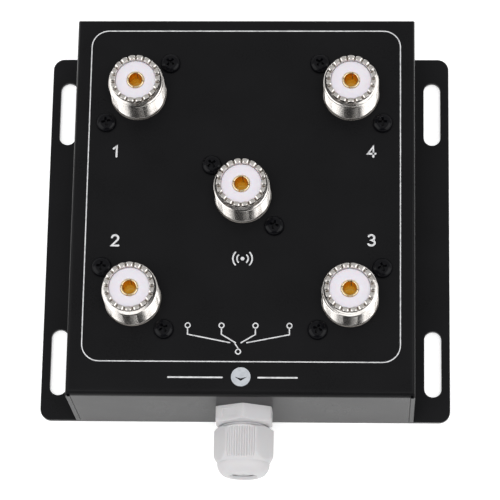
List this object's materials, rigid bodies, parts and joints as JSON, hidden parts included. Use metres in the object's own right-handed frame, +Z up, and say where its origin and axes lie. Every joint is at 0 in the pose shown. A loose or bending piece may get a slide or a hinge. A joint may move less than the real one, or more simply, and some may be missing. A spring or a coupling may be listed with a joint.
{
  "type": "coaxial antenna switch",
  "caption": "Remote coaxial antenna switch: flat black steel box on a slotted base plate, threaded radio sockets in its top and a plastic cable gland in its front wall.",
  "frame": {"origin": "centre of the base plate's underside", "axes": "+X to the right and +Y away from the cable gland's wall, seen with the gland nearest; +Z up through the top panel with the sockets"},
  "size_m": [0.12, 0.132, 0.047],
  "materials": {
    "cover_paint": "satin black powder coat",
    "plate_paint": "satin black powder coat",
    "nickel": "bright nickel plate on brass",
    "white_ptfe": "smooth white fluoropolymer",
    "gold": "gold plate on brass",
    "black_screw": "black oxide steel",
    "bright_steel": "zinc plated steel",
    "board": "green solder mask on glass fibre",
    "relay_plastic": "black moulded plastic",
    "soft_iron": "plated soft iron",
    "copper_wire": "enamelled copper winding",
    "silver_contact": "silver plated bronze",
    "terminal_plastic": "green moulded plastic",
    "diode_glass": "black moulded diode",
    "gland_plastic": "light grey nylon",
    "black_rubber": "black rubber",
    "grey_rubber": "light grey rubber",
    "white_ink": "white screen printing on the cover"
  },
  "bodies": {
    "switch": {"base_plate": "plate_paint", "cover": "cover_paint", "base_screws": "bright_steel", "clinch_nuts": "bright_steel", "antenna_1_socket_shell": "nickel", "antenna_1_socket_insulator": "white_ptfe", "antenna_1_socket_contact": "gold", "antenna_2_socket_shell": "nickel", "antenna_2_socket_insulator": "white_ptfe", "antenna_2_socket_contact": "gold", "antenna_3_socket_shell": "nickel", "antenna_3_socket_insulator": "white_ptfe", "antenna_3_socket_contact": "gold", "antenna_4_socket_shell": "nickel", "antenna_4_socket_insulator": "white_ptfe", "antenna_4_socket_contact": "gold", "transmitter_socket_shell": "nickel", "transmitter_socket_insulator": "white_ptfe", "transmitter_socket_contact": "gold", "socket_screws": "black_screw", "socket_standoffs": "nickel", "board_screws": "bright_steel", "circuit_board": "board", "relay_1_case": "relay_plastic", "relay_1_base": "relay_plastic", "relay_1_yoke": "soft_iron", "relay_1_coil": "copper_wire", "relay_1_contacts": "silver_contact", "relay_2_case": "relay_plastic", "relay_2_base": "relay_plastic", "relay_2_yoke": "soft_iron", "relay_2_coil": "copper_wire", "relay_2_contacts": "silver_contact", "relay_3_case": "relay_plastic", "relay_3_base": "relay_plastic", "relay_3_yoke": "soft_iron", "relay_3_coil": "copper_wire", "relay_3_contacts": "silver_contact", "relay_4_case": "relay_plastic", "relay_4_base": "relay_plastic", "relay_4_yoke": "soft_iron", "relay_4_coil": "copper_wire", "relay_4_contacts": "silver_contact", "terminal_block": "terminal_plastic", "terminal_screws": "bright_steel", "coil_diodes": "diode_glass", "gland_body": "gland_plastic", "gland_gasket": "black_rubber", "gland_lock_nut": "gland_plastic"},
    "cable_clamp": {"gland_claw": "gland_plastic", "gland_seal": "grey_rubber"},
    "cap_nut": {"gland_cap_nut": "gland_plastic"},
    "relay_1_armature": {"relay_1_armature": "soft_iron"},
    "relay_2_armature": {"relay_2_armature": "soft_iron"},
    "relay_3_armature": {"relay_3_armature": "soft_iron"},
    "relay_4_armature": {"relay_4_armature": "soft_iron"}
  },
  "joints": [
    {"name": "cable_clamp_slide", "type": "slide", "parent": "switch", "child": "cable_clamp", "axis": [0, 1, 0], "range_m": [-0.0045, 0.00025]},
    {"name": "cap_nut_turn", "type": "hinge", "parent": "cable_clamp", "child": "cap_nut", "pos_m": [0.0006, -0.06915, 0.016], "axis": [0, 1, 0], "range_deg": [-1080, 60]},
    {"name": "relay_1_armature_hinge", "type": "hinge", "parent": "switch", "child": "relay_1_armature", "pos_m": [-0.013, 0.0179, 0.00815], "axis": [1, 0, 0], "range_deg": [0, 3], "stiffness_Nm_per_rad": 0.02, "springref_deg": -8.59},
    {"name": "relay_2_armature_hinge", "type": "hinge", "parent": "switch", "child": "relay_2_armature", "pos_m": [-0.013, -0.0281, 0.00815], "axis": [1, 0, 0], "range_deg": [0, 3], "stiffness_Nm_per_rad": 0.02, "springref_deg": -8.59},
    {"name": "relay_3_armature_hinge", "type": "hinge", "parent": "switch", "child": "relay_3_armature", "pos_m": [0.013, -0.0281, 0.00815], "axis": [1, 0, 0], "range_deg": [0, 3], "stiffness_Nm_per_rad": 0.02, "springref_deg": -8.59},
    {"name": "relay_4_armature_hinge", "type": "hinge", "parent": "switch", "child": "relay_4_armature", "pos_m": [0.013, 0.0179, 0.00815], "axis": [1, 0, 0], "range_deg": [0, 3], "stiffness_Nm_per_rad": 0.02, "springref_deg": -8.59}
  ],
  "couplings": [
    {"joint": "cap_nut_turn", "follows": "cable_clamp_slide", "rad_per_m": 4188.8}
  ]
}
